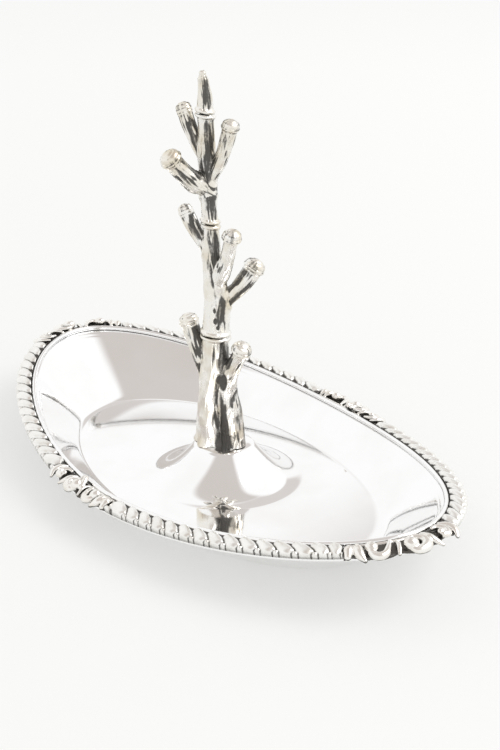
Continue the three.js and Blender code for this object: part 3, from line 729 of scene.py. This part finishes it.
neckShape = {"root": 0.4, "rootTo": 0.36, "neckTo": 0.9, "stop": 0.15, "steps": 40}
capShape = {"height": 0.72, "bulge": 0.4, "groove": 0.84, "gap": 0.1, "dome": 0.93, "domeFrom": 0.12,
            "lineDepth": 0.16, "lineAt": 0.62, "lineWidth": 0.07}


# A tapered neck, a ring, and a domed end with a turned line in it
def branchProfile(name, length):
    plan = branchPlan[name]
    end, ring, gap = treeSize["branchEnd"] * plan["end"] / 2, treeSize["ring"], capShape["gap"]
    cap = end * capShape["height"]
    ringFoot = length - cap - ring
    share = np.linspace(0, 1, neckShape["steps"])
    if name == secondStem:
        steps = pathLengths(branchPath(name))
        radii = np.interp(share * steps[-1], steps, stemCurve[:, 2])
    else:
        wide = treeSize["branch"] * plan["thick"] / 2
        slim = mix(neckShape["root"], 1, smoothStep(share, 0, neckShape["rootTo"]))
        radii = wide * mix(*plan["neck"], smoothStep(share, 0, neckShape["neckTo"])) * slim
    profile = [(0, 0)]
    profile += [(radius, part * (ringFoot - neckShape["stop"])) for radius, part in zip(radii, share)]
    bulge = ring * capShape["bulge"]
    for angle in np.linspace(-math.pi / 2, math.pi / 2, 9):
        across = end - bulge + bulge * math.cos(angle)
        profile.append((across, ringFoot + ring / 2 + ring / 2 * math.sin(angle)))
    profile.append((end * capShape["groove"], ringFoot + ring + gap))
    for angle in np.linspace(capShape["domeFrom"], math.pi / 2, 22):
        fromLine = (math.cos(angle) - capShape["lineAt"]) / capShape["lineWidth"]
        line = capShape["lineDepth"] * math.exp(-fromLine ** 2)
        radius = (end * capShape["dome"] - line) * math.cos(angle)
        height = (cap - gap - line) * math.sin(angle)
        profile.append((radius, ringFoot + ring + gap + height))
    profile[-1] = (0, length)
    return profile


def addBranch(whole, name):
    path = branchPath(name)
    way = wayOf(branchPlan[name]["heading"])
    blank = turned(branchProfile(name, pathLengths(path)[-1]), treeSize["branchSides"])
    gather(whole, form(blank, lambda points: onPath(path, np.array([-way[1], way[0], 0]), points)))


# Long dark marks on the trunk, patina, and on the side towards the camera and its right painted shade as
# well:
# lowest and highest point, heading, half width in degrees
patinaAndShadePlan = [(9, 20, 30, 26), (13, 30.5, 16, 38), (32.8, 40.5, 346, 28), (40.5, 45.5, 316, 12),
              (46.6, 54, 348, 52), (55.8, 62, 348, 54), (61, 66, 330, 85), (65, 72, 338, 48),
              (71, 76, 350, 56), (77.4, 83, 346, 50), (12, 28, 120, 30), (34, 52, 150, 34),
              (58, 74, 190, 38), (25, 30, 316, 6), (9, 14, 222, 8)]
# Dark hollows: middle, half width and half height, and whether only its edge is dark
knotPlan = [((1.7, -2.8, 47.4), 0.5, 0.85, False), ((1.1, -2.9, 35.4), 0.45, 0.7, False),
            ((1.5, -2.5, 34.0), 0.4, 0.5, False), ((2.3, -2.4, 22.4), 1.0, 1.9, True),
            ((3.9, 1.2, 9.7), 0.5, 0.5, False), ((0.9, -3.0, 37.6), 0.3, 0.6, False)]
# The deep furrow between the two stems, as (x, y, z, radius)
furrowPath = [(1.7, -2.6, 21.5, 0.7), (1.9, -2.7, 19, 1.0), (2.5, -2.5, 15.5, 1.2), (2.6, -2.2, 12.5, 1.5),
              (3.0, -2.7, 9, 1.8)]
# Bark: how often each grain waves round a stem and along it, and where it starts
barkGrain = {"streak": (2.3, 0.17, 0), "thin": (4.2, 0.3, 3), "blot": (1.3, 0.42, 5)}
barkDepth = {"furrow": 0.08, "mark": 0.14, "blot": 0.12, "thin": 0.06, "fillet": 0.3, "filletWidth": 0.6,
             "knot": 0.22, "lip": 0.08}
# How the trunk's dark marks and furrows are drawn; the marks are patina and painted shade together
trunkMarkings = {"blot": 0.42, "thin": 0.38, "raggedStreak": 5, "raggedThin": 2, "fadeOut": 1, "fadeIn": 1.2,
             "darkTo": 0.62, "brightFrom": 1.12, "ringHalf": 0.95, "calm": 0.25, "calmTo": 29,
             "fullFrom": 38}
branchWear = {"blot": 1.25, "thin": 0.9, "upper": 0.36, "all": 0.06, "darkFrom": 0.5, "line": 0.14,
              "lineAt": 0.06, "domeLine": 0.52, "dome": 0.55, "domeFrom": 0.1}


# For each point the nearest path, the nearest place on it, and how near the next path's skin is
def nearestPath(points, paths):
    best = np.full((len(paths), len(points)), 1e9)
    station = np.zeros((len(paths), len(points)), int)
    for number, (path, radii) in enumerate(paths):
        for k, (middle, radius) in enumerate(zip(path, radii)):
            away = np.linalg.norm(points - middle, axis=1) - radius
            nearer = away < best[number] - 1e-6
            best[number, nearer], station[number, nearer] = away[nearer], k
    which = np.argmin(best, axis=0)
    others = np.sort(best, axis=0)[1] if len(paths) > 1 else np.full(len(points), 1e9)
    return which, station[which, np.arange(len(points))], others


def wavy(rows):
    return np.array([noise.noise(Vector(row)) for row in rows])


def grainAt(kind, angle, along, shift):
    across, lengthwise, start = barkGrain[kind]
    c, s = np.cos(angle) * across + start, np.sin(angle) * across
    return wavy(np.stack([c, s, along * lengthwise + shift], -1))


# The trunk's dark marks, patina together with painted shade, by the plan of long marks, with ragged edges,
# and a share that is 0 at the rings
def trunkMarks(angle, high, grain):
    heading, mark = np.degrees(angle) % 360, np.zeros(len(high))
    marking, fadeOut, fadeIn = trunkMarkings, trunkMarkings["fadeOut"], trunkMarkings["fadeIn"]
    ragged = high + grain["streak"] * marking["raggedStreak"] + grain["thin"] * marking["raggedThin"]
    for low, top, centre, half in patinaAndShadePlan:
        away = np.abs((heading - centre + 180) % 360 - 180) / half
        away = away + grain["blot"] * marking["blot"] + grain["thin"] * marking["thin"]
        inside = smoothStep(ragged, low - fadeOut, low + fadeIn)
        inside = inside * (1 - smoothStep(ragged, top - fadeIn, top + fadeOut))
        mark = np.maximum(mark, inside * (1 - smoothStep(away, marking["darkTo"], marking["brightFrom"])))
    mark *= np.clip(0.92 + 0.8 * grain["thin"], 0.62, 1)
    rings = sum(np.exp(-((high - joint) / marking["ringHalf"]) ** 4) for joint in treeSize["joints"])
    return mark, 1 - np.clip(rings, 0, 1)


# A branch's dark marks, more of them on top, and a share that is 0 from the ring on
def branchMarks(plan, cut, angle, along, grain):
    marking = branchWear
    upper = marking["upper"] * np.cos(angle) + marking["all"]
    dirt = grain["blot"] * marking["blot"] + grain["thin"] * marking["thin"] + plan["dirt"] + upper
    mark = smoothStep(dirt, 0, marking["darkFrom"]) * np.clip(0.85 + 0.8 * grain["streak"], 0.5, 1)
    return mark, 1 - smoothStep(along, cut - 0.7, cut - 0.1)


# Dark lines beside a branch's ring and in its dome, and blots on the dome
def capMarks(cut, end, along, grain):
    marking, ring = branchWear, treeSize["ring"]
    cap = along - cut - ring
    places = (-ring, marking["lineAt"], end * marking["domeLine"])
    lines = sum(np.exp(-((cap - place) / marking["line"]) ** 2) for place in places)
    lines = np.clip(lines, 0, 1) * np.clip(0.4 + 1.1 * grain["thin"] + 0.9 * grain["blot"], 0, 0.8)
    blots = smoothStep(grain["blot"] + 0.7 * grain["thin"], 0.05, 0.4)
    return np.maximum(lines, marking["dome"] * (cap > marking["domeFrom"]) * blots)


# The nearest stem's own measures at each point: angle round it and length along it
def onStem(points, path, k, isBranch):
    lengths = pathLengths(path)
    tangent = unit(np.gradient(path, lengths, axis=0))[k]
    offset = points - path[k]
    offset -= tangent * np.sum(offset * tangent, axis=1)[:, None]
    first = np.array([0, 0, 1.0]) if isBranch else np.array([1.0, 0, 0])
    first = unit(first - tangent * np.sum(first * tangent, axis=1)[:, None])
    second = np.cross(tangent, first)
    angle = np.arctan2(np.sum(offset * second, axis=1), np.sum(offset * first, axis=1))
    return angle, lengths[k] + np.sum((points - path[k]) * tangent, axis=1)


def treePaths(branches):
    heights = np.linspace(treeSize["foot"], treeSize["top"], 150)
    paths = [(trunkMiddle(heights), trunkRadius(heights))]
    for name in branches:
        path = branchPath(name)[::2]
        if name == secondStem:
            radii = stemCurve[::2, 2]
        else:
            radii = np.full(len(path), treeSize["branch"] * branchPlan[name]["thick"] / 2)
        paths.append((path, radii))
    return paths


# Bark on the trunk and branches: furrows, knots, soft inner corners, and the patina that lies in them, with
# painted shade in the trunk's long marks
def treeDetail(mesh, branches):
    points = meshPoints(mesh)
    normals = np.empty(len(points) * 3)
    mesh.vertices.foreach_get("normal", normals)
    normals = normals.reshape(-1, 3)
    paths = treePaths(branches)
    which, station, others = nearestPath(points, paths)
    patinaAndShade = np.zeros(len(points))
    depth = -barkDepth["fillet"] * np.exp(-(np.maximum(others, 0) / barkDepth["filletWidth"]) ** 2)
    plans = [None, *(branchPlan[name] for name in branches)]
    for number, (path, radii) in enumerate(paths):
        mine = np.nonzero(which == number)[0]
        if not len(mine):
            continue
        plan, high = plans[number], points[mine, 2]
        angle, along = onStem(points[mine], path, station[mine], plan is not None)
        shift = number * 7.3 + (plan["heading"] if plan else 0)
        grain = {kind: grainAt(kind, angle, along, shift) for kind in barkGrain}
        calm = 1
        if plan is None:
            calm = mix(trunkMarkings["calm"], 1, smoothStep(high, trunkMarkings["calmTo"], trunkMarkings["fullFrom"]))
            mark, ends = trunkMarks(angle, high, grain)
        else:
            end = treeSize["branchEnd"] * plan["end"] / 2
            cut = pathLengths(path)[-1] - end * capShape["height"] - treeSize["ring"]
            mark, ends = branchMarks(plan, cut, angle, along, grain)
            patinaAndShade[mine] = capMarks(cut, end, along, grain)
        furrow = np.clip(1 - np.abs(grain["streak"]) * 7, 0, 1) * calm
        patinaAndShade[mine] = np.maximum(patinaAndShade[mine], np.maximum(mark, furrow * 0.3) * ends)
        sunk = barkDepth["furrow"] * furrow + barkDepth["mark"] * mark
        raised = barkDepth["blot"] * np.clip(grain["blot"], -1, 0.4)
        depth[mine] += (sunk - raised - barkDepth["thin"] * grain["thin"]) * ends
    for middle, wide, high, edgeOnly in knotPlan:
        away = points - np.array(middle)
        size = np.sqrt((away[:, 0] ** 2 + away[:, 1] ** 2) / wide ** 2 + (away[:, 2] / high) ** 2)
        inside = 1 - smoothStep(size, 0.75, 1.15)
        if edgeOnly:
            inside = 1 - smoothStep(np.abs(size - 1), 0.1, 0.42)
        patinaAndShade = np.maximum(patinaAndShade, inside)
        depth += barkDepth["knot"] * inside - barkDepth["lip"] * np.exp(-((size - 1.45) / 0.25) ** 2)
    furrowCurve = smoothPath(furrowPath, 8)
    away = np.min([np.linalg.norm(points - row[:3], axis=1) / row[3] for row in furrowCurve], axis=0)
    patinaAndShade = np.maximum(patinaAndShade, 1 - smoothStep(away, 0.7, 1.15))
    setPoints(mesh, points - normals * depth[:, None])
    addShade(mesh, "patinaAndShade", patinaAndShade)


sections = ["lower", "middle", "upper", "tip"]


def makeTree(section):
    whole = bmesh.new()
    addTrunk(whole, section)
    branches = [name for name, plan in branchPlan.items() if plan["on"] == section]
    for name in branches:
        addBranch(whole, name)
    mesh = fuse("tree", whole, treeSize["voxel"], treeSize["easing"])
    treeDetail(mesh, branches)
    part = sections[section]
    nodes = ["trunk_" + part, *branches]
    finishPiece("tree_%s_casting" % part, mesh, silvers["barkSilver"], nodes)


for section in range(4):
    makeTree(section)

# The fixing is hidden under the dome: its CAD meshes stay, in turned silver
for name in ("fixing_stud", "fixing_washer", "fixing_nut"):
    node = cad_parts[name]
    node.data.materials.clear()
    node.data.materials.append(silvers["turnedSilver"])


# Floor, light and camera

# The near glow colour is a painted shade round the object
studio = {"floor": "#F4F4F2", "floorRadius": 3, "glowShadedNear": "#F0F0EF", "glowFar": "#FAFAFA",
          "nearShadeFrom": 0.07, "nearShadeTo": 0.4, "plainShare": 0.48, "world": 0.93, "mirrored": 1.07,
          "tent": "#FBFBFB", "backdrop": "#FDFCFC"}


# Paper that takes the object's shadow, and glows a little where it is seen or mirrored; the glow is darker
# near the object, a painted shade
def makeFloor():
    shape = bmesh.new()
    bmesh.ops.create_circle(shape, cap_ends=True, segments=96, radius=studio["floorRadius"])
    floor = bpy.data.objects.new("floor", toMesh("floor", shape))
    bpy.context.scene.collection.objects.link(floor)
    material = bpy.data.materials.new("paperFloor")
    material.use_nodes = True
    tree = material.node_tree
    tree.nodes.clear()
    path = addNode(tree, "LightPath").outputs
    seen = addNode(tree, "Math", {0: path["Is Camera Ray"], 1: path["Is Glossy Ray"]}, operation="MAXIMUM")
    part = addNode(tree, "Math", {0: seen.outputs[0], 1: studio["plainShare"]}, operation="MULTIPLY")
    place = addNode(tree, "TexCoord").outputs["Object"]
    away = addNode(tree, "VectorMath", {0: place}, operation="LENGTH").outputs["Value"]
    # Painted shade: the glow is darker near the object and lightens further away
    far = addNode(tree, "MapRange", {
        "Value": away, "From Min": studio["nearShadeFrom"], "From Max": studio["nearShadeTo"]}).outputs["Result"]
    paper = addNode(tree, "BsdfDiffuse", {"Color": linear(studio["floor"])})
    glowWithShade = addNode(tree, "MixRGB", {
        "Fac": far, "Color1": linear(studio["glowShadedNear"]), "Color2": linear(studio["glowFar"])})
    white = addNode(tree, "Emission", {"Color": glowWithShade.outputs["Color"], "Strength": 1.0})
    shader = addNode(tree, "MixShader", {0: part.outputs[0], 1: paper.outputs[0], 2: white.outputs[0]})
    addNode(tree, "OutputMaterial", {"Surface": shader.outputs[0]})
    floor.data.materials.append(material)


makeFloor()

world = bpy.data.worlds.new("studio")
bpy.context.scene.world = world
world.use_nodes = True
world.node_tree.nodes.clear()
direction = addNode(world.node_tree, "TexCoord").outputs["Generated"]

# What the metal mirrors of the tent: a grey-beige roof and side, and a bright window. Each patch is where all
# its caps meet, and a cap is (azimuth, elevation, half angle, softness) in degrees.
tentPatches = [
    {"colour": "#D0CAC6", "caps": [(90, 74, 36, 9)]},
    {"colour": "#D6D1CE", "caps": [(218, 43, 15, 5)]},
    {"colour": "#FFFFFF", "caps": [(150, 33, 50, 3), (115, 0, 90, 3), (165, -22, 90, 9), (137, -20, 90, 6)]},
]


def cosine(degrees):
    return math.cos(math.radians(degrees))


def sine(degrees):
    return math.sin(math.radians(degrees))


# The way to a point seen at an azimuth from -Y and an elevation, in degrees
def towards(azimuth, elevation):
    return Vector((sine(azimuth) * cosine(elevation), -cosine(azimuth) * cosine(elevation), sine(elevation)))


def makeWorld():
    tree = world.node_tree
    colour = linear(studio["tent"])
    for patch in tentPatches:
        share = 1.0
        for azimuth, elevation, half, soft in patch["caps"]:
            middle = {0: direction, 1: towards(azimuth, elevation)}
            facing = addNode(tree, "VectorMath", middle, operation="DOT_PRODUCT").outputs["Value"]
            inside = addNode(tree, "MapRange", {
                "Value": facing, "From Min": cosine(half + soft), "From Max": cosine(half)},
                interpolation_type="SMOOTHSTEP").outputs["Result"]
            share = addNode(tree, "Math", {0: share, 1: inside}, operation="MULTIPLY").outputs[0]
        colour = addNode(tree, "MixRGB", {
            "Fac": share, "Color1": colour, "Color2": linear(patch["colour"])}).outputs["Color"]
    path = addNode(tree, "LightPath").outputs
    metal = addNode(tree, "Background", {"Color": colour, "Strength": studio["mirrored"]}).outputs[0]
    plain = addNode(tree, "Background", {
        "Color": linear("#FFFFFF"), "Strength": studio["world"]}).outputs[0]
    backdrop = addNode(tree, "Background", {
        "Color": linear(studio["backdrop"]), "Strength": 1.0}).outputs[0]
    mixed = addNode(tree, "MixShader", {0: path["Is Glossy Ray"], 1: plain, 2: metal}).outputs[0]
    seen = addNode(tree, "MixShader", {0: path["Is Camera Ray"], 1: mixed, 2: backdrop}).outputs[0]
    addNode(tree, "OutputWorld", {"Surface": seen})


makeWorld()


def addLamp(name, azimuth, elevation, distance, size, power):
    way = towards(azimuth, elevation)
    light = bpy.data.lights.new(name, "AREA")
    light.shape = "DISK"
    light.size = size
    light.energy = power
    lamp = bpy.data.objects.new(name, light)
    lamp.location = way * distance
    lamp.rotation_mode = "QUATERNION"
    lamp.rotation_quaternion = way.to_track_quat("Z", "Y")
    bpy.context.scene.collection.objects.link(lamp)


addLamp("key", azimuth=140, elevation=48, distance=0.9, size=0.6, power=2.6)

# Where the camera stands, and how it is turned from there, in degrees and mm
cameraPlace = {"azimuth": 55.5453, "elevation": 26.4494, "distance": 332.72, "yaw": 54.543,
               "pitch": 22.7988, "roll": -0.5206, "lens": 76.8, "sensor": 36}


def makeCamera():
    place = towards(cameraPlace["azimuth"], cameraPlace["elevation"])
    yaw, roll = cameraPlace["yaw"], cameraPlace["roll"]
    back = towards(yaw, cameraPlace["pitch"])
    right = Vector((cosine(yaw), sine(yaw), 0))
    up = back.cross(right)
    across = right * cosine(roll) - up * sine(roll)
    upward = right * sine(roll) + up * cosine(roll)
    data = bpy.data.cameras.new("camera")
    data.lens = cameraPlace["lens"]
    data.sensor_width = cameraPlace["sensor"]
    data.clip_start, data.clip_end = 0.01, 20
    camera = bpy.data.objects.new("camera", data)
    turn = Matrix((across, upward, back)).transposed().to_4x4()
    camera.matrix_world = Matrix.Translation(place * cameraPlace["distance"] * millimetre) @ turn
    bpy.context.scene.collection.objects.link(camera)
    bpy.context.scene.camera = camera


makeCamera()
bpy.context.scene.view_settings.view_transform = "Standard"
